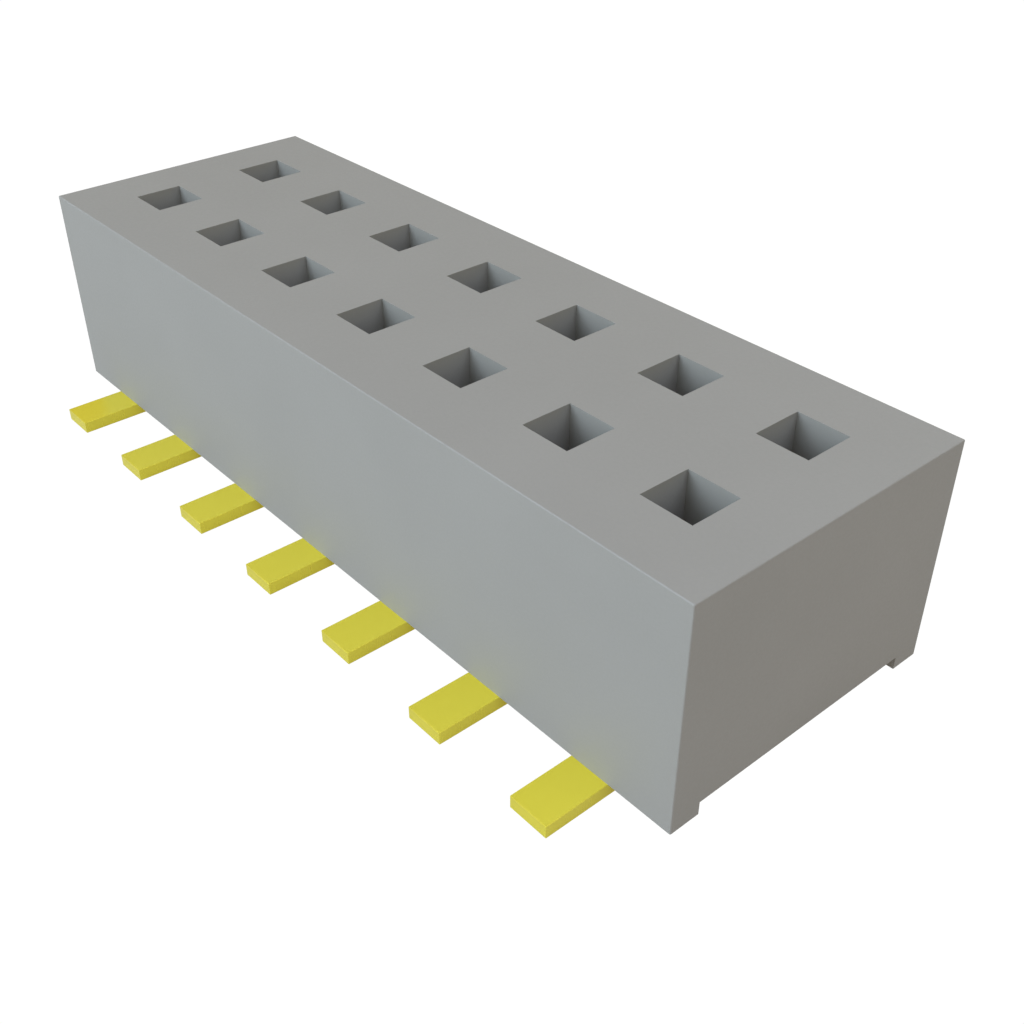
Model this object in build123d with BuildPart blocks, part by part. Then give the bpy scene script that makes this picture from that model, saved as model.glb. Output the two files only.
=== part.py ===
from build123d import *
import os

# A low-profile surface-mount socket strip: a moulded housing with two rows of seven square entries,
# and a stamped and formed dual-beam contact under each entry. All sizes are in millimetres.
# +X runs along the rows, +Y across them and +Z up from the board. The origin is the centre of the
# contact pattern on the board, so the undersides of the solder tails lie in the plane Z = 0.

# Contact pattern
positions = 7  # contacts in each row
pitch = 1.27  # from contact to contact along a row
row_spacing = 1.27  # from row to row

# Mating pin, a square post that enters from above
pin_size = 0.457
entry_size = 0.508  # side of the square entry in the top face
entry_depth = 0.508  # thickness of the top wall that the entry passes through

# Housing
end_margin = 0.851  # from the last contact's axis to the end face
side_margin = 0.889  # from a row's axis to the side face
housing_height = 2.159  # from the underside of the rails to the top face
rail_width = 0.305
rail_height = 0.127
outer_edge_radius = 0.012
chamber_corner_radius = 0.03

# Contact metal and its bends, each radius on the inside of the bend
sheet = 0.127
tail_bend_radius = 0.09
collar_bend_radius = 0.05
shoulder_bend_radius = 0.12
wipe_bend_radius = 0.1

# Solder tail
tail_width = 0.406
tail_reach = 0.635  # how far a tail stands out beyond the side face

# Collar: the U-shaped root that holds both beams in the chamber
collar_lift = 0.08  # from the housing's underside to the collar's lower edge
collar_height = 0.42
barb_height = 0.035  # how far a barb stands out from the wing's free edge
barb_length = 0.13
barbs_per_wing = 2

# Beams
beam_root_width = 0.32
beam_tip_width = 0.22
beam_tip_chamfer = 0.04
shoulder_rise = 0.05  # from the collar's upper edge to the corner where a beam starts to lean
throat = 0.3  # free gap between the two wiping faces
wipe_depth = 0.93  # from the top face down to the middle of the wiping faces
wipe_length = 0.16  # straight stretch of each beam that rubs along the pin

# Clearances
pin_back_gap = 0.06  # between the pin and the collar's back plate
pin_front_gap = 0.06  # between the pin and the chamber's inner wall
mouth_lip = 0.02  # how far each beam tip stands back behind the entry's edge
beam_headroom = 0.08  # between the beam tips and the chamber's ceiling
beam_side_room = 0.02  # left outside a beam when the pin has spread it

# Levels above the board: the rails stand on the tails, one sheet thickness up
rail_level = sheet
underside_level = rail_level + rail_height
top_level = rail_level + housing_height
ceiling_level = top_level - entry_depth
collar_level = underside_level + collar_lift
collar_top_level = collar_level + collar_height
wipe_level = top_level - wipe_depth
tip_level = ceiling_level - beam_headroom

# Plan sizes that follow from the pin, the sheet and the clearances
housing_length = (positions - 1) * pitch + 2 * end_margin
housing_width = row_spacing + 2 * side_margin
mouth = entry_size + 2 * mouth_lip
beam_travel = (pin_size - throat) / 2
chamber_length = mouth + 2 * (sheet + beam_travel + beam_side_room)
chamber_back = pin_size / 2 + pin_back_gap + sheet  # contact axis to the outer wall
chamber_front = pin_size / 2 + pin_front_gap  # contact axis to the inner wall
collar_outside = chamber_length - 2 * chamber_corner_radius  # clear of the rounded corners
wing_reach = chamber_front - barb_height

# Each folded profile is drawn along the middle of the sheet, half a sheet behind its inside face
half_sheet = sheet / 2
wing_middle = collar_outside / 2 - half_sheet
back_middle = chamber_back - half_sheet
tail_middle = rail_level - half_sheet
wipe_middle = throat / 2 + half_sheet
tip_middle = mouth / 2 + half_sheet

# Each beam's end is cut square to the sheet, with its higher corner at tip_level
flare = Vector(tip_middle - wipe_middle, tip_level - wipe_level - wipe_length / 2).normalized()
tip_end = Vector(tip_middle, tip_level) - flare * (half_sheet * flare.X / flare.Y)

os.makedirs("parts", exist_ok=True)

# Housing: one moulding, an end profile drawn out along the rows, with its entries and chambers
with BuildPart() as housing:
    with BuildSketch(Plane.YZ) as end_profile:
        with Locations((0, (rail_level + top_level) / 2)):
            Rectangle(housing_width, housing_height)
        with Locations((0, rail_level + rail_height / 2)):
            Rectangle(housing_width - 2 * rail_width, rail_height, mode=Mode.SUBTRACT)
    extrude(amount=housing_length / 2, both=True)

    # Moulded edges, slightly rounded: the four upright corners and the rim of the top face
    upright_edges = housing.edges().filter_by(Axis.Z).filter_by(lambda e: e.length > housing_height / 2)
    top_rim = housing.faces().sort_by(Axis.Z)[-1].edges()
    fillet(upright_edges + top_rim, radius=outer_edge_radius)

    # Square pin entries through the top wall
    with BuildSketch(Plane.XY.offset(top_level)) as entries:
        with GridLocations(pitch, row_spacing, positions, 2):
            Rectangle(entry_size, entry_size)
    extrude(amount=-entry_depth, mode=Mode.SUBTRACT)

    # Contact chambers below the entries, open to the channel between the rails
    with BuildSketch(Plane.XY.offset(underside_level)) as chambers:
        with GridLocations(pitch, row_spacing + chamber_back - chamber_front, positions, 2):
            RectangleRounded(chamber_length, chamber_back + chamber_front, chamber_corner_radius)
    extrude(amount=ceiling_level - underside_level, mode=Mode.SUBTRACT)

housing.part.label = "housing"
export_step(housing.part, "parts/housing.step")

# Contact: one strip of sheet metal, drawn about its own axis with the tail towards -Y
with BuildPart() as contact:
    # Beams, seen across the row: each rises from its wing, leans in to a straight wiping stretch
    # and flares out again at the tip
    shoulder_turn = shoulder_bend_radius + half_sheet
    wipe_turn = wipe_bend_radius + half_sheet
    with BuildSketch(Plane.XZ) as beam_profile:
        with BuildLine():
            FilletPolyline(
                (wing_middle, collar_level),
                (wing_middle, collar_top_level + shoulder_rise),
                (wipe_middle, wipe_level - wipe_length / 2),
                (wipe_middle, wipe_level + wipe_length / 2),
                tip_end,
                radius=(shoulder_turn, wipe_turn, wipe_turn),
            )
        trace(line_width=sheet)
        mirror(about=Plane.YZ)
    extrude(amount=beam_root_width / 2, both=True)

    # The beams' stamped outline, seen along the row: they taper from the collar to the tip
    with BuildSketch(Plane.YZ) as beam_outline:
        Polygon(
            (-beam_root_width / 2, collar_level),
            (beam_root_width / 2, collar_level),
            (beam_root_width / 2, collar_top_level),
            (beam_tip_width / 2, tip_level),
            (-beam_tip_width / 2, tip_level),
            (-beam_root_width / 2, collar_top_level),
            align=None,
        )
        chamfer(beam_outline.vertices().group_by(Axis.Y)[-1], length=beam_tip_chamfer)
    extrude(amount=chamber_length, both=True, mode=Mode.INTERSECT)

    # Collar: back plate and two wings
    with BuildSketch(Plane.XY.offset(collar_level)) as collar_plan:
        with BuildLine():
            FilletPolyline(
                (wing_middle, wing_reach),
                (wing_middle, -back_middle),
                (-wing_middle, -back_middle),
                (-wing_middle, wing_reach),
                radius=collar_bend_radius + half_sheet,
            )
        trace(line_width=sheet)
    extrude(amount=collar_height)

    # Barbs on the free edges of both wings, which bite into the chamber's inner wall
    for wing in (-wing_middle, wing_middle):
        with BuildSketch(Plane.YZ.offset(wing)) as barb_outline:
            for barb in range(barbs_per_wing):
                barb_level = collar_level + collar_height * (barb + 0.5) / barbs_per_wing
                Polygon(
                    (wing_reach, barb_level - barb_length / 2),
                    (chamber_front, barb_level - barb_length / 2),
                    (wing_reach, barb_level + barb_length / 2),
                    align=None,
                )
        extrude(amount=half_sheet, both=True)

    # Neck and solder tail: down from the back plate, then out under the rail
    with BuildSketch(Plane.YZ) as tail_profile:
        with BuildLine():
            FilletPolyline(
                (-back_middle, collar_top_level),
                (-back_middle, tail_middle),
                (-side_margin - tail_reach, tail_middle),
                radius=tail_bend_radius + half_sheet,
            )
        trace(line_width=sheet)
    extrude(amount=tail_width / 2, both=True)

# One contact stands under each entry. The rear row is turned half round, tails outwards.
for row, side, turn in (("front", -1, 0), ("rear", 1, 180)):
    for number in range(positions):
        axis_x = (number - (positions - 1) / 2) * pitch
        placed = contact.part.moved(Location((axis_x, side * row_spacing / 2, 0), (0, 0, turn)))
        placed.label = f"contact_{row}_{number + 1}"
        export_step(placed, f"parts/{placed.label}.step")
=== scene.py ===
# %% [markdown]
# A fine-pitch socket strip
#
# The object is a surface-mount socket strip: a small grey moulding with two rows of seven square
# entries, and under each entry a contact folded from thin gold-plated metal whose flat tail is
# soldered to the board. The whole strip is less than a centimetre long. The engineering model is
# the fixed frame of this scene, and each cell below adds one thing to it: the camera, the light,
# the finish of the plastic, and contacts made the way a press tool makes them.

# %% Load the frame
import math
from collections import namedtuple

import bmesh
import bpy
import numpy as np
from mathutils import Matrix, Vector


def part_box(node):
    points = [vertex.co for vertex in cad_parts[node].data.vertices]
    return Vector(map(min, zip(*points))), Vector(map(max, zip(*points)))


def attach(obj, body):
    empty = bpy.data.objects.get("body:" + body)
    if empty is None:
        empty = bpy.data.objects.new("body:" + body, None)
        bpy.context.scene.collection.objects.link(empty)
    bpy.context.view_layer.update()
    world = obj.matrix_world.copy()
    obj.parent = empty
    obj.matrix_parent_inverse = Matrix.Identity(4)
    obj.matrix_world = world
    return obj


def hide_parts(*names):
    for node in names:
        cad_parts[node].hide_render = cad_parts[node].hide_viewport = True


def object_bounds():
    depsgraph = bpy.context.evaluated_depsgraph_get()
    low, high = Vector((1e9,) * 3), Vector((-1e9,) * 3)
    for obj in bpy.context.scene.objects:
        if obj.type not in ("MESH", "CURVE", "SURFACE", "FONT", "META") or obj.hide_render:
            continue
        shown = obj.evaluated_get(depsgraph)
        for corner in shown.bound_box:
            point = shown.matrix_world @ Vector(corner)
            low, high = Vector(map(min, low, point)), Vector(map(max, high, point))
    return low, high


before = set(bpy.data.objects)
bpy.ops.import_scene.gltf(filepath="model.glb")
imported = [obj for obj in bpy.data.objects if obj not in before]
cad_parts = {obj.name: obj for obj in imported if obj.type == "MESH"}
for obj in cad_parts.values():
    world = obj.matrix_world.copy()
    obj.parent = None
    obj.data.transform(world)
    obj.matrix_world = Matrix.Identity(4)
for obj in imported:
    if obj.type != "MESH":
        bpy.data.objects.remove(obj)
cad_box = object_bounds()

# %% [markdown]
# Working in millimetres
#
# The scene's own unit is the metre, and the sheet metal of this strip is an eighth of a millimetre
# thick. Some mesh tools treat anything under a millionth of a unit as zero. One could enlarge the
# whole scene, but then it would no longer fit the frame. So shapes are worked out in millimetres,
# and brought to metres only when a finished piece is written.

# %% The millimetre
MM = 0.001

strip_length, strip_width, strip_height = (cad_box[1] - cad_box[0]) / MM
print(f"strip: {strip_length:.3f} x {strip_width:.3f} x {strip_height:.3f} mm")

# %% [markdown]
# The camera
#
# A camera can be matched to a picture by eye, but the picture's straight edges do it better: the
# corners of the strip and of its entries fix the lens, the height and the direction at once. The
# camera stands only 13 mm from the middle of the strip, so its near clipping distance has to shrink
# with it, or the strip would be cut away.

# %% Camera
camera_place_mm = Vector((8.578, -6.444, 7.334))
camera_azimuth = math.radians(49.102)  # turned from looking along +Y towards -X
camera_elevation = math.radians(34.987)  # looking down by this much
lens_mm, sensor_mm = 44.27, 36.0
nearest_mm, farthest_mm = 0.5, 2000.0

camera_data = bpy.data.cameras.new("camera")
camera_data.lens = lens_mm
camera_data.sensor_width = sensor_mm
camera_data.clip_start = nearest_mm * MM
camera_data.clip_end = farthest_mm * MM
camera = bpy.data.objects.new("camera", camera_data)
camera.location = camera_place_mm * MM
camera.rotation_euler = (math.pi / 2 - camera_elevation, 0, camera_azimuth)
bpy.context.scene.collection.objects.link(camera)
bpy.context.scene.camera = camera
print(f"camera: {camera_place_mm.length:.2f} mm from the origin")

# %% [markdown]
# Four soft lamps
#
# The picture shows a part on plain white with no shadow. Its faces differ in tint, and that says
# where the light comes from. The long side is cool and bright from top to bottom, so a large cool
# key lamp stands in front of it and a low one beneath that. The end is warm and dim, so its lamp is
# weak, and another weak one fills the back, which the picture doesn't show. All four are soft,
# because each is nearly as large as it is far away. Light adds up, so each lamp was tried alone and
# the powers were solved for, which is surer than moving sliders.
#
# The colours are shown with the Standard view. The usual one bends them like film, and the ground
# would no longer be white.

# %% Lamps
view_settings = bpy.context.scene.view_settings
view_settings.view_transform = "Standard"
view_settings.look = "None"

lamp_distance_mm, lamp_size_mm = 80.0, 60.0
lamps = {  # azimuth and elevation in degrees, colour, power in watts
    "key": (-22, 36, (0.737, 0.881, 1.0), 0.0413),
    "low": (-10, 15, (0.709, 0.833, 1.0), 0.0522),
    "end": (90, 35, (0.763, 0.844, 1.0), 0.027),
    "rear": (180, 20, (1.0, 0.974, 0.872), 0.0173),
}


def direction(azimuth, elevation):
    """The unit vector (sin a cos e, -cos a cos e, sin e): azimuth 0 is -Y, a quarter turn is +X."""
    level = math.cos(elevation)
    return Vector((math.sin(azimuth) * level, -math.cos(azimuth) * level, math.sin(elevation)))


def soft_lamp(name, towards, colour, power):
    """A square area lamp that stands in that direction and faces the middle of the strip.

    An area lamp shines along its own -Z, so its +Z is turned away from the strip.
    """
    lamp = bpy.data.lights.new(name, "AREA")
    lamp.shape = "SQUARE"
    lamp.size = lamp_size_mm * MM
    lamp.color = colour
    lamp.energy = power
    holder = bpy.data.objects.new(name, lamp)
    holder.location = towards * lamp_distance_mm * MM
    holder.rotation_euler = towards.to_track_quat("Z", "Y").to_euler()
    bpy.context.scene.collection.objects.link(holder)


for name, (azimuth, elevation, colour, power) in lamps.items():
    soft_lamp(name, direction(math.radians(azimuth), math.radians(elevation)), colour, power)
print("lamps:", ", ".join(lamps))

# %% [markdown]
# An amber room with a pale ceiling
#
# Metal shows what stands round it. The leftmost tail mirrors a dim yellow from behind the strip, so
# the walls of the room are a dim amber. The depths of the entries are neutral, so its ceiling is
# pale. A real room could be built from planes, but a background that depends on the direction does
# the same with nothing in the way. The camera sees it as plain white, like the picture's ground.

# %% The surround
wall_colour, ceiling_colour = (0.42, 0.34, 0.1), (0.907, 0.838, 0.927)
ceiling_from, ceiling_to = 0.5, 0.8  # the upward part of a direction, where walls turn to ceiling
seen_colour = (1.0, 1.0, 1.0)


def either_shader(nodes, links, choice, at_0, at_1):
    """The first shader where the choice is 0 and the second where it is 1."""
    mix = nodes.new("ShaderNodeMixShader")
    links.new(choice, mix.inputs[0])
    links.new(at_0, mix.inputs[1])
    links.new(at_1, mix.inputs[2])
    return mix.outputs["Shader"]


def surround():
    """Lights with walls + (ceiling - walls) x smoothstep(upward part), and is seen as white."""
    world = bpy.data.worlds.new("surround")
    bpy.context.scene.world = world
    world.use_nodes = True
    nodes, links = world.node_tree.nodes, world.node_tree.links
    nodes.clear()
    towards = nodes.new("ShaderNodeTexCoord")
    parts = nodes.new("ShaderNodeSeparateXYZ")
    links.new(towards.outputs["Generated"], parts.inputs["Vector"])
    rise = nodes.new("ShaderNodeMapRange")
    rise.interpolation_type = "SMOOTHSTEP"
    rise.inputs["From Min"].default_value = ceiling_from
    rise.inputs["From Max"].default_value = ceiling_to
    links.new(parts.outputs["Z"], rise.inputs["Value"])
    room = nodes.new("ShaderNodeMix")
    room.data_type = "RGBA"
    room.inputs["A"].default_value = (*wall_colour, 1)
    room.inputs["B"].default_value = (*ceiling_colour, 1)
    links.new(rise.outputs["Result"], room.inputs["Factor"])
    light = nodes.new("ShaderNodeBackground")
    links.new(room.outputs["Result"], light.inputs["Color"])
    white = nodes.new("ShaderNodeBackground")
    white.inputs["Color"].default_value = (*seen_colour, 1)
    is_seen = nodes.new("ShaderNodeLightPath").outputs["Is Camera Ray"]
    both = either_shader(nodes, links, is_seen, light.outputs["Background"], white.outputs["Background"])
    links.new(both, nodes.new("ShaderNodeOutputWorld").inputs["Surface"])


surround()
print("surround: walls", wall_colour, "ceiling", ceiling_colour)

# %% [markdown]
# The floor
#
# A picture of a small part without its shadow is taken on a light table: a pale translucent sheet
# lit gently from below. Its glow lights the lower half of each side as much as the upper half, and
# leaves no dark line where the part stands. A photographer lifts the ground to white afterwards.
# Here the floor's material does both: the strip gets the glow, and the camera sees plain white. It
# is hardly brighter than white, because a brighter ground would tint each edge that stands in front
# of it. From below the sheet is clear, so the underside can be seen.

# %% The floor's material
floor_colour = (0.25, 0.25, 0.25)
glow_colour, glow = (1.0, 0.848, 0.755), 0.375
seen_strength = 1.02


def floor_material():
    """Matt and glowing for the light, plain white for the camera, and clear from below."""
    material = bpy.data.materials.new("floor")
    material.use_nodes = True
    nodes, links = material.node_tree.nodes, material.node_tree.links
    shader = nodes["Principled BSDF"]
    shader.inputs["Base Color"].default_value = (*floor_colour, 1)
    shader.inputs["Roughness"].default_value = 1.0
    shader.inputs["Specular IOR Level"].default_value = 0.0
    shader.inputs["Emission Color"].default_value = (*glow_colour, 1)
    shader.inputs["Emission Strength"].default_value = glow
    white = nodes.new("ShaderNodeEmission")
    white.inputs["Color"].default_value = (*seen_colour, 1)
    white.inputs["Strength"].default_value = seen_strength
    clear = nodes.new("ShaderNodeBsdfTransparent")
    is_seen = nodes.new("ShaderNodeLightPath").outputs["Is Camera Ray"]
    is_below = nodes.new("ShaderNodeNewGeometry").outputs["Backfacing"]
    above = either_shader(nodes, links, is_seen, shader.outputs["BSDF"], white.outputs["Emission"])
    both = either_shader(nodes, links, is_below, above, clear.outputs["BSDF"])
    links.new(both, nodes["Material Output"].inputs["Surface"])
    return material


light_table = floor_material()
print("floor material: glows at", glow, "and is seen at", seen_strength)

# %% [markdown]
# The floor's disc
#
# The sheet is one flat disc, wide enough that its rim is never in view. It lies two thousandths of
# a millimetre under the tails. In the very same plane, the renderer could not tell which of the two
# is in front.

# %% The floor's disc
floor_level_mm, floor_radius_mm = -0.002, 400.0
rim_corners = 96


def finished_piece(name, mesh, points_mm):
    """Puts points given in millimetres into the mesh, in metres, and links it as an object.

    The object itself stays at the origin, unturned and unscaled, so patterns that read object
    coordinates stay where they are.
    """
    mesh.vertices.foreach_set("co", np.asarray(points_mm, np.float32).ravel() * MM)
    mesh.update()
    piece = bpy.data.objects.new(name, mesh)
    bpy.context.scene.collection.objects.link(piece)
    return piece


def floor():
    """One face whose corners lie at (r cos a, r sin a, level), anticlockwise seen from above."""
    angle = np.linspace(0, 2 * np.pi, rim_corners, endpoint=False)
    level = np.full(rim_corners, floor_level_mm)
    rim = np.stack([floor_radius_mm * np.cos(angle), floor_radius_mm * np.sin(angle), level], axis=1)
    mesh = bpy.data.meshes.new("floor")
    mesh.from_pydata(rim.tolist(), [], [list(range(rim_corners))])
    mesh.materials.append(light_table)
    disc = finished_piece("floor", mesh, rim)


floor()
print(f"floor: a disc of {2 * floor_radius_mm:.0f} mm, {-floor_level_mm} mm under the tails")

# %% [markdown]
# The grain that plastic and plating share
#
# Neither plastic nor rolled metal is one flat colour. A cloudy change over a millimetre or so and a
# fine grain of a few hundredths are enough at this size. The cloud moves the colour between two
# near shades, and the grain moves the shine and roughens the surface. Plastic and plating both need
# that, so it is made once, as a node group, and each material sets its own scales, shades and shine.

# %% Two small helpers for nodes
usual_low, usual_high = 0.25, 0.75  # nearly all of a noise's values lie between these


def noise(nodes, links, position, scale, detail):
    """A noise of the position, mapped from its usual range about 0.5 to the range 0..1."""
    texture = nodes.new("ShaderNodeTexNoise")
    texture.inputs["Detail"].default_value = detail
    links.new(position, texture.inputs["Vector"])
    links.new(scale, texture.inputs["Scale"])
    widen = nodes.new("ShaderNodeMapRange")
    widen.inputs["From Min"].default_value = usual_low
    widen.inputs["From Max"].default_value = usual_high
    links.new(texture.outputs["Fac"], widen.inputs["Value"])
    return widen.outputs["Result"]


def blend(nodes, links, kind, factor, low, high):
    """The mix of two inputs of that kind, low where the factor is 0 and high where it is 1."""
    mix = nodes.new("ShaderNodeMix")
    mix.data_type = kind
    links.new(factor, mix.inputs["Factor"])
    links.new(low, mix.inputs["A"])
    links.new(high, mix.inputs["B"])
    return mix.outputs["Result"]


print(f"noise: {usual_low} to {usual_high} is spread over 0 to 1")

# %% The finish group
cloud_detail, grain_detail = 3.0, 4.0
group_inputs = {
    "Position": "Vector", "Cloud scale": "Float", "Grain scale": "Float",
    "Dark": "Color", "Light": "Color", "Smooth": "Float", "Rough": "Float",
}
group_outputs = {"Color": "Color", "Roughness": "Float", "Height": "Float"}


def finish_group():
    """Color follows a slow noise of the position, and Roughness and Height follow a fine one."""
    group = bpy.data.node_groups.new("grained_finish", "ShaderNodeTree")
    for side, sockets in (("INPUT", group_inputs), ("OUTPUT", group_outputs)):
        for name, kind in sockets.items():
            group.interface.new_socket(name, in_out=side, socket_type=f"NodeSocket{kind}")
    nodes, links = group.nodes, group.links
    given = nodes.new("NodeGroupInput").outputs
    made = nodes.new("NodeGroupOutput").inputs
    cloud = noise(nodes, links, given["Position"], given["Cloud scale"], cloud_detail)
    grain = noise(nodes, links, given["Position"], given["Grain scale"], grain_detail)
    links.new(blend(nodes, links, "RGBA", cloud, given["Dark"], given["Light"]), made["Color"])
    links.new(blend(nodes, links, "FLOAT", grain, given["Smooth"], given["Rough"]), made["Roughness"])
    links.new(grain, made["Height"])
    return group


grained_finish = finish_group()
print("finish group:", [socket.name for socket in grained_finish.interface.items_tree])


# %% A material that wears the finish
def grained_material(name, settings, bump_strength, bump_mm):
    """A new material whose colour, roughness and bump come from the group with these settings.

    Returns the material, its shader and the group's node, whose Position is still to be linked.
    """
    material = bpy.data.materials.new(name)
    material.use_nodes = True
    nodes, links = material.node_tree.nodes, material.node_tree.links
    shader = nodes["Principled BSDF"]
    finish = nodes.new("ShaderNodeGroup")
    finish.node_tree = grained_finish
    for socket, value in settings.items():
        finish.inputs[socket].default_value = value
    links.new(finish.outputs["Color"], shader.inputs["Base Color"])
    links.new(finish.outputs["Roughness"], shader.inputs["Roughness"])
    bump = nodes.new("ShaderNodeBump")
    bump.inputs["Strength"].default_value = bump_strength
    bump.inputs["Distance"].default_value = bump_mm * MM
    links.new(finish.outputs["Height"], bump.inputs["Height"])
    links.new(bump.outputs["Normal"], shader.inputs["Normal"])
    return material, shader, finish


print("each material gives the group its own", ", ".join(group_inputs))

# %% [markdown]
# The moulding's finish
#
# The housing is a glass-filled moulding in mid grey. Its tool was spark-eroded, which leaves a very
# fine matte texture, so the shine is broad and weak. The colour barely changes: a little with the
# flow of the plastic. The housing's own mesh comes from the engineering model, and only its material
# is set. A pattern wrapped round it would need seams, so this one fills space: it reads object
# coordinates, which are the frame's own, in metres. That is why its scales are so large.

# %% Moulded plastic
def moulded_plastic():
    """Grey plastic, with clouds about 1.4 mm and grain about 0.025 mm across."""
    material, _, finish = grained_material("moulded_plastic", {
        "Cloud scale": 700.0, "Grain scale": 40000.0,
        "Dark": (0.222, 0.225, 0.216, 1), "Light": (0.234, 0.237, 0.228, 1),
        "Smooth": 0.58, "Rough": 0.7}, bump_strength=0.15, bump_mm=0.001)
    place = material.node_tree.nodes.new("ShaderNodeTexCoord")
    material.node_tree.links.new(place.outputs["Object"], finish.inputs["Position"])
    return material


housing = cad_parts["housing"]
housing.material_slots[0].material = moulded_plastic()
housing_low, housing_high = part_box("housing")
print(f"housing: {(housing_high.z - housing_low.z) / MM:.3f} mm high, on rails at"
      f" {housing_low.z / MM:.3f} mm")

# %% [markdown]
# The plating's finish
#
# The contacts are rolled bronze with a bright gold-coloured plating. Rolling leaves very fine lines
# along the strip, and the press leaves short lines across the thickness of each cut edge. Both
# patterns read the flat blank's own coordinates, in millimetres, which the mesh carries as an
# attribute called `blank`, so the lines run round every bend as they do on the real part. On a face,
# squeezing one coordinate draws the pattern out into lines along it. Across a cut edge the
# coordinates don't change at all, so there any pattern turns into lines by itself.
#
# The rolled face mirrors only half of what stands round it and scatters the rest, which is how a
# satin plating looks. The sheared edge is burnished by the press, so it is mostly mirror.

# %% Plated metal
roughness_swing = 0.04  # how far the grain moves the roughness either way


def plated_metal(name, dark, light, metallic, roughness, stretch, bump_strength):
    """Gold-coloured plating whose pattern is noise(stretch x the place on the flat blank).

    Its clouds are about 0.5 mm and its grain about 0.025 mm across, before they are stretched.
    """
    material, shader, finish = grained_material(name, {
        "Cloud scale": 2.0, "Grain scale": 40.0, "Dark": (*dark, 1), "Light": (*light, 1),
        "Smooth": roughness - roughness_swing, "Rough": roughness + roughness_swing},
        bump_strength, bump_mm=0.0005)
    shader.inputs["Metallic"].default_value = metallic
    nodes, links = material.node_tree.nodes, material.node_tree.links
    place = nodes.new("ShaderNodeAttribute")
    place.attribute_name = "blank"
    mapping = nodes.new("ShaderNodeMapping")
    mapping.inputs["Scale"].default_value = stretch
    links.new(place.outputs["Vector"], mapping.inputs["Vector"])
    links.new(mapping.outputs["Vector"], finish.inputs["Position"])
    return material


rolled_face = plated_metal("rolled_face", dark=(0.764, 0.672, 0.0545), light=(0.788, 0.696, 0.0615),
                           metallic=0.45, roughness=0.22, stretch=(1.0, 0.08, 1.0), bump_strength=0.15)
sheared_edge = plated_metal("sheared_edge", dark=(0.756, 0.721, 0.071), light=(0.786, 0.751, 0.081),
                            metallic=0.8, roughness=0.3, stretch=(1.0, 1.0, 1.0), bump_strength=0.1)
print("plating:", rolled_face.name, "and", sheared_edge.name)

# %% [markdown]
# Bending a sheet: the formula
#
# Each contact is one strip. A press cuts a flat blank, then folds it. The folds could be modelled as
# boxes joined together, but then the thickness and the grain would break at each joint. Here the
# same folding is done by formula: every point of the flat blank knows how far it lies along a bent
# line, and the line says where it ends up.
#
# A bent line is a row of straight runs joined by arcs. An arc of radius r that turns by an angle t
# starts and ends r tan(t / 2) from the corner that it replaces, because there it touches both runs.

# %% A bent line
BentLine = namedtuple("BentLine", "lengths places lefts")
arc_steps = 6


def quarter_left(vectors):
    """Turns each (x, y) a quarter turn anticlockwise, to (-y, x)."""
    return np.stack([-vectors[:, 1], vectors[:, 0]], axis=1)


def bent_line(corners, radii):
    """Stations along straight runs joined by arcs that touch them.

    For a corner P with directions d before and e after, the arc's centre lies at
    P - r tan(t / 2) d + r n, where t is the turn from d to e and n is d turned a quarter to the
    side of the turn. The arc's points are the centre minus r n, turned by 0 to t. Returns each
    station's distance along the line, its place, and the sideways direction to the left there.
    """
    corners = np.asarray(corners, float)
    runs = np.diff(corners, axis=0)
    directions = runs / np.linalg.norm(runs, axis=1)[:, None]
    places, lefts = [corners[:1]], [quarter_left(directions[:1])]
    lengths = [np.zeros(1)]
    for corner, before, after, radius in zip(corners[1:-1], directions, directions[1:], radii):
        cross = before[0] * after[1] - before[1] * after[0]
        turn = math.atan2(cross, before @ after)
        reach = radius * math.tan(abs(turn) / 2)
        side = math.copysign(1.0, turn)
        left = quarter_left(before[None])[0]
        start = corner - reach * before
        centre = start + radius * side * left
        angles = np.linspace(0, turn, arc_steps + 1)
        cosine, sine = np.cos(angles), np.sin(angles)
        turned = np.stack([cosine * left[0] - sine * left[1], sine * left[0] + cosine * left[1]], axis=1)
        run_up = lengths[-1][-1] + np.linalg.norm(start - places[-1][-1])
        places.append(centre - radius * side * turned)
        lefts.append(turned)
        lengths.append(run_up + radius * np.abs(angles))
    last = lengths[-1][-1] + np.linalg.norm(corners[-1] - places[-1][-1])
    places.append(corners[-1:])
    lefts.append(quarter_left(directions[-1:]))
    lengths.append(np.array([last]))
    return BentLine(np.concatenate(lengths), np.concatenate(places), np.concatenate(lefts))


quarter_bend = bent_line([(0, 0), (1, 0), (1, 1)], [0.5])
print(f"a bend of radius 0.5 between runs of 1: {quarter_bend.lengths[-1]:.4f} long, and"
      f" {1 + math.pi / 4:.4f} by hand")

# %% [markdown]
# The contact's sizes
#
# These are the engineering model's values. Levels are above the board. The radius of a bend and the
# gap between the beams are measured to a face of the sheet, but a bent line is drawn along the
# middle of the sheet, so half a sheet is added to them.

# %% Contact sizes, in millimetres
sheet = 0.127
half_sheet = sheet / 2

collar_level, collar_top = 0.334, 0.754
wing_middle, back_middle = 0.406, 0.352
chamber_front = 0.2885  # from the contact's axis to the chamber's inner wall, which the barbs touch
collar_radius = 0.05 + half_sheet

barb_height, barb_length = 0.035, 0.13
barb_shares = np.array([0.25, 0.75])  # of the collar's height, up to the middle of each barb
barb_levels = collar_level + barb_shares * (collar_top - collar_level)

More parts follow.
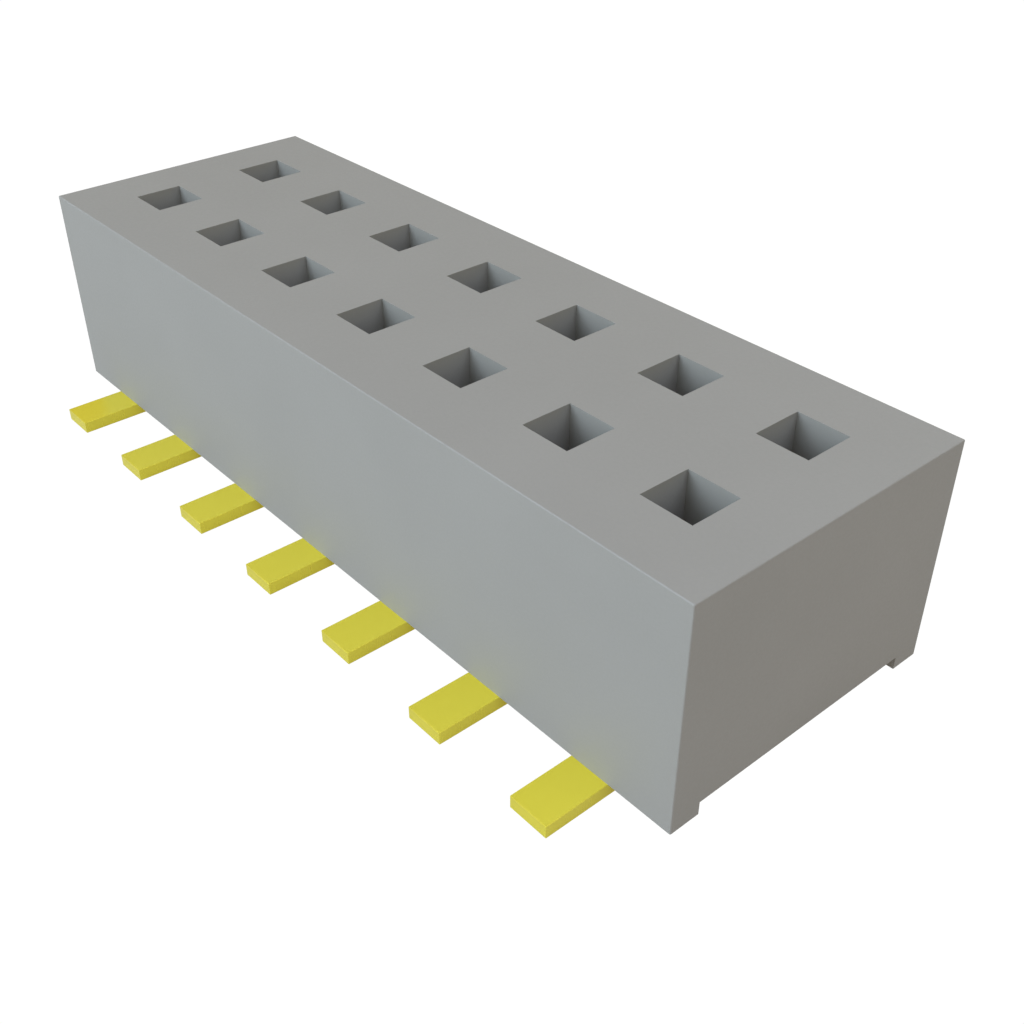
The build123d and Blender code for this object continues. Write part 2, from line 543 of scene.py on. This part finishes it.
shoulder_rise = 0.05
shoulder_radius, wipe_radius = 0.12 + half_sheet, 0.1 + half_sheet
wipe_middle, wipe_level, wipe_length = 0.15 + half_sheet, 1.356, 0.16
tip_middle, tip_level = 0.274 + half_sheet, 1.698
beam_root_width, beam_tip_width, tip_chamfer = 0.32, 0.22, 0.04

tail_radius = 0.09 + half_sheet
tail_width = 0.406
side_face, tail_reach = 0.889, 0.635  # from the contact's axis, and from there to the tail's end
tail_tip = side_face + tail_reach

contact_low, contact_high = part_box("contact_front_4")
print(f"contact: {(contact_high.x - contact_low.x) / MM:.3f} mm wide in the frame,"
      f" {2 * (wing_middle + half_sheet):.3f} from these sizes")

# %% [markdown]
# The flat blank and its three folds
#
# The collar is a U seen from above, each beam is a gentle S seen across the row, and the tail is an
# L seen along it. So a point of the blank needs two numbers: how far round the collar it lies, and
# how far up its beam or down its neck. The collar's line turns the first into a place and a
# direction out of the contact. The beam's or tail's line turns the second into a move in that
# direction and a height.

# %% The three bent lines
collar_line = bent_line(
    [(wing_middle, chamber_front), (wing_middle, -back_middle), (-wing_middle, -back_middle),
     (-wing_middle, chamber_front)],
    [collar_radius, collar_radius])

beam_lean = wing_middle - wipe_middle  # how far the wiping stretch stands in from the wing
wipe_low, wipe_high = wipe_level - wipe_length / 2, wipe_level + wipe_length / 2
flare = Vector((wipe_middle - tip_middle, tip_level - wipe_high)).normalized()
square_cut = half_sheet * abs(flare.x / flare.y)  # the end's higher corner then lies at tip_level
tip_end = (wing_middle - tip_middle - square_cut * flare.x, tip_level - square_cut * flare.y)
beam_line = bent_line(
    [(0, collar_top), (0, collar_top + shoulder_rise), (beam_lean, wipe_low), (beam_lean, wipe_high),
     tip_end],
    [shoulder_radius, wipe_radius, wipe_radius])

tail_line = bent_line(
    [(back_middle - tail_tip, half_sheet), (0, half_sheet), (0, collar_level)],
    [tail_radius])

around_length, beam_length, tail_length = (line.lengths[-1] for line in (collar_line, beam_line, tail_line))
print(f"blank: {around_length:.3f} mm round the collar, beams {beam_length:.3f},"
      f" neck and tail {tail_length:.3f}")

# %% [markdown]
# From numbers to patches
#
# A patch is a grid of such points. The blank could be one large grid with holes in it, but four
# kinds of patch follow its outline with far fewer faces. Neighbouring patches repeat the points of
# their common edge, and merging by distance joins them later, as welding a seam would.

# %% Folding a patch of the blank
def at(line, distances):
    """Place and left direction at distances that lie at stations or on straight runs.

    Between two stations both are mixed in proportion to the distance from each.
    """
    place, left = (np.stack([np.interp(distances, line.lengths, values[:, axis]) for axis in (0, 1)], axis=-1)
                   for values in (line.places, line.lefts))
    return place, left


def patch(around, line_inward, line_level, height):
    """A grid of folded points, their flat places and its quads, all with the outside in front.

    place = collar(around) - inward * outward direction(around), at the line's level. The collar's
    line runs clockwise seen from above, so the outward direction is the one to its left. The flat
    places are (around, height, 0).
    """
    rows, columns = around.shape
    place, outward = at(collar_line, around)
    inward = np.broadcast_to(line_inward[:, None], around.shape)[..., None]
    level = np.broadcast_to(line_level[:, None], around.shape)[..., None]
    points = np.concatenate([place - inward * outward, level], axis=-1).reshape(-1, 3)
    flat = np.stack([around, np.broadcast_to(height[:, None], around.shape), 0 * around], axis=-1)
    index = np.arange(rows * columns).reshape(rows, columns)
    quads = np.stack([index[:-1, :-1], index[1:, :-1], index[1:, 1:], index[:-1, 1:]], axis=-1)
    return points, flat.reshape(-1, 3), quads.reshape(-1, 4)


collar_ends, _ = at(collar_line, np.array([0, around_length]))
print("collar: its line starts and ends at", collar_ends.round(4).tolist())

# %% [markdown]
# The two beams
#
# The beams are the springs that grip a pin. Each rises from a wing of the collar, leans in until the
# two nearly meet, runs straight where it rubs along the pin, and flares out again to guide the pin
# in. It narrows towards its tip, whose corners are cut off.
#
# Each beam is a patch of four columns. The outer two follow the taper, and in the last row they
# close on the inner two, which gives the cut corners without a face of its own for each.

# %% The beams
def mirrored(around):
    """The same places on the other wing: distances counted from the collar line's other end."""
    return around_length - around[..., ::-1]


beam_column = chamber_front  # the beam's axis lies that far along the collar's line, at y = 0
inner_half = beam_tip_width / 2 - tip_chamfer
beam_distance = np.append(beam_line.lengths[:-1], [beam_length - tip_chamfer, beam_length])
beam_place, _ = at(beam_line, beam_distance)
rise = (beam_place[:, 1] - collar_top) / (tip_level - collar_top)
outer_half = (beam_root_width + (beam_tip_width - beam_root_width) * rise) / 2
outer_half[-1] = inner_half
inner_column = np.full_like(outer_half, inner_half)
beam_around = beam_column + np.stack([-outer_half, -inner_column, inner_column, outer_half], axis=1)
beam_height = collar_top + beam_distance
beam_patches = [patch(around, beam_place[:, 0], beam_place[:, 1], beam_height)
                for around in (beam_around, mirrored(beam_around))]
print(f"beams: {len(beam_distance)} rows, throat {2 * (wipe_middle - half_sheet):.3f} mm")

# %% [markdown]
# The neck and the tail
#
# The neck comes straight down from the back of the collar and turns outwards under the housing's
# rail. There it becomes the flat tail, whose underside is soldered to the board. It is equally wide
# all along, so its patch needs only two columns.

# %% The neck and tail
tail_place, _ = at(tail_line, tail_line.lengths)
tail_columns = around_length / 2 + np.array([-tail_width / 2, tail_width / 2])
tail_around = np.broadcast_to(tail_columns, (len(tail_place), 2))
tail_height = collar_level - (tail_length - tail_line.lengths)
tail_patch = patch(tail_around, tail_place[:, 0], tail_place[:, 1], tail_height)
print(f"tail: reaches {tail_tip:.3f} mm from the contact's axis")

# %% [markdown]
# The collar and its barbs
#
# The collar holds the contact in its chamber. On its wings' free edges are barbs, small teeth that
# bite into the plastic. The contact is pushed in from below, so a barb is sloped above, where it
# leads, and flat below, where it holds.
#
# The collar is a plain band, but it needs a column or a row wherever a beam, the tail or a barb
# begins. A corner that met the middle of a longer edge would leave a gap in the seam. Each barb is a
# patch of two rows whose upper row has closed to one point.

# %% The collar and its barbs
wing_columns = np.concatenate([[barb_height], beam_around[0]])
bend_columns = collar_line.lengths[1:-1]
band_columns = np.unique(np.concatenate([wing_columns, mirrored(wing_columns), bend_columns, tail_columns]))
barb_rows = (barb_levels[:, None] + np.array([-0.5, 0.5]) * barb_length).ravel()
band_rows = np.concatenate([[collar_level], barb_rows, [collar_top]])
band_around = np.broadcast_to(band_columns, (len(band_rows), len(band_columns)))
band_patch = patch(band_around, 0 * band_rows, band_rows, band_rows)


def barb(low, high, mirror):
    """A triangle from the wing's edge out to the free end, full at the low row, closed at the high."""
    around = np.array([[0, barb_height], [barb_height, barb_height]])
    rows = np.array([low, high])
    return patch(mirrored(around) if mirror else around, 0 * rows, rows, rows)


barb_patches = [barb(low, high, mirror) for low, high in barb_rows.reshape(-1, 2) for mirror in (False, True)]
print(f"collar: {len(band_rows)} rows by {len(band_columns)} columns, {len(barb_patches)} barbs")

# %% [markdown]
# One surface
#
# Now the patches become one mesh. Points that repeat along the seams are welded, and the faces that
# closed to a line or a point are tidied away. Each point keeps its place on the flat blank, in the
# attribute that the plating reads.

# %% Joining the patches
weld_mm, collapse_mm = 1e-5, 1e-6  # nearer points become one, and shorter edges are dissolved


def blank_mesh(patches):
    """Joins the patches into one surface, with each point's flat place in the attribute `blank`."""
    starts = np.cumsum([0] + [len(points) for points, _, _ in patches])
    points = np.concatenate([points for points, _, _ in patches])
    flat = np.concatenate([flat for _, flat, _ in patches])
    quads = np.concatenate([quads + start for (_, _, quads), start in zip(patches, starts)])
    mesh = bpy.data.meshes.new("blank")
    mesh.from_pydata(points.tolist(), [], quads.tolist())
    attribute = mesh.attributes.new("blank", "FLOAT_VECTOR", "POINT")
    attribute.data.foreach_set("vector", flat.astype(np.float32).ravel())
    work = bmesh.new()
    work.from_mesh(mesh)
    bmesh.ops.remove_doubles(work, verts=work.verts, dist=weld_mm)
    bmesh.ops.dissolve_degenerate(work, edges=work.edges, dist=collapse_mm)
    work.to_mesh(mesh)
    work.free()
    return mesh


folded_blank = blank_mesh([band_patch, tail_patch, *beam_patches, *barb_patches])
print(f"folded blank: {len(folded_blank.vertices)} points, {len(folded_blank.polygons)} faces")

# %% [markdown]
# Thickness and edges
#
# The folded surface is the middle of the sheet. A Solidify modifier gives it half the thickness on
# each side and marks the cut edges with the second material. A Bevel modifier then takes the
# sharpness off the cut edges alone, because bends turn too little at each step to pass its limit.
# Both work in millimetres on a helper object that is deleted afterwards.

# %% One contact, about its own axis
edge_round, edge_steps = 0.003, 2
bevel_above, smooth_below = math.radians(50), math.radians(20)


def thick_sheet(mesh):
    """Each point moved half a sheet along its normal and half a sheet against it, edges rounded."""
    mesh.materials.append(rolled_face)
    mesh.materials.append(sheared_edge)
    helper = bpy.data.objects.new("helper", mesh)
    bpy.context.scene.collection.objects.link(helper)
    solidify = helper.modifiers.new("thickness", "SOLIDIFY")
    solidify.thickness = sheet
    solidify.offset = 0
    solidify.use_even_offset = True
    solidify.material_offset_rim = 1
    bevel = helper.modifiers.new("edges", "BEVEL")
    bevel.width = edge_round
    bevel.segments = edge_steps
    bevel.limit_method = "ANGLE"
    bevel.angle_limit = bevel_above
    graph = bpy.context.evaluated_depsgraph_get()
    thick = bpy.data.meshes.new_from_object(helper.evaluated_get(graph), depsgraph=graph)
    bpy.data.objects.remove(helper)
    thick.shade_smooth()
    thick.set_sharp_from_angle(angle=smooth_below)
    return thick


pattern = thick_sheet(folded_blank)
pattern_points = np.empty(3 * len(pattern.vertices), np.float32)
pattern.vertices.foreach_get("co", pattern_points)
pattern_points = pattern_points.reshape(-1, 3).astype(float)
print(f"contact: {len(pattern.polygons)} faces, {pattern_points.min(0).round(4)} to"
      f" {pattern_points.max(0).round(4)} mm")

# %% [markdown]
# Fourteen contacts
#
# Each contact takes the place of its plain counterpart in the frame. The rear row is the front row
# turned half round, which is only a change of sign for both x and y. The copies could share one
# mesh and be moved as objects, but a finished piece keeps its place in its own mesh.

# %% Placing the contacts
for node in sorted(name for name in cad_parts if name.startswith("contact_")):
    low, high = (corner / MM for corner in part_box(node))
    front = node.startswith("contact_front")
    turn = 1.0 if front else -1.0
    axis_y = low.y + tail_tip if front else high.y - tail_tip
    place = np.array([(low.x + high.x) / 2, axis_y, 0.0])
    points = pattern_points * np.array([turn, turn, 1.0]) + place
    piece = finished_piece(f"formed_{node}", pattern.copy(), points)
    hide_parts(node)
    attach(piece, "root")
    gap = max(abs(points.min(0) - np.array(low)).max(), abs(points.max(0) - np.array(high)).max())
    print(f"{node}: within {gap:.4f} mm of the frame's box")
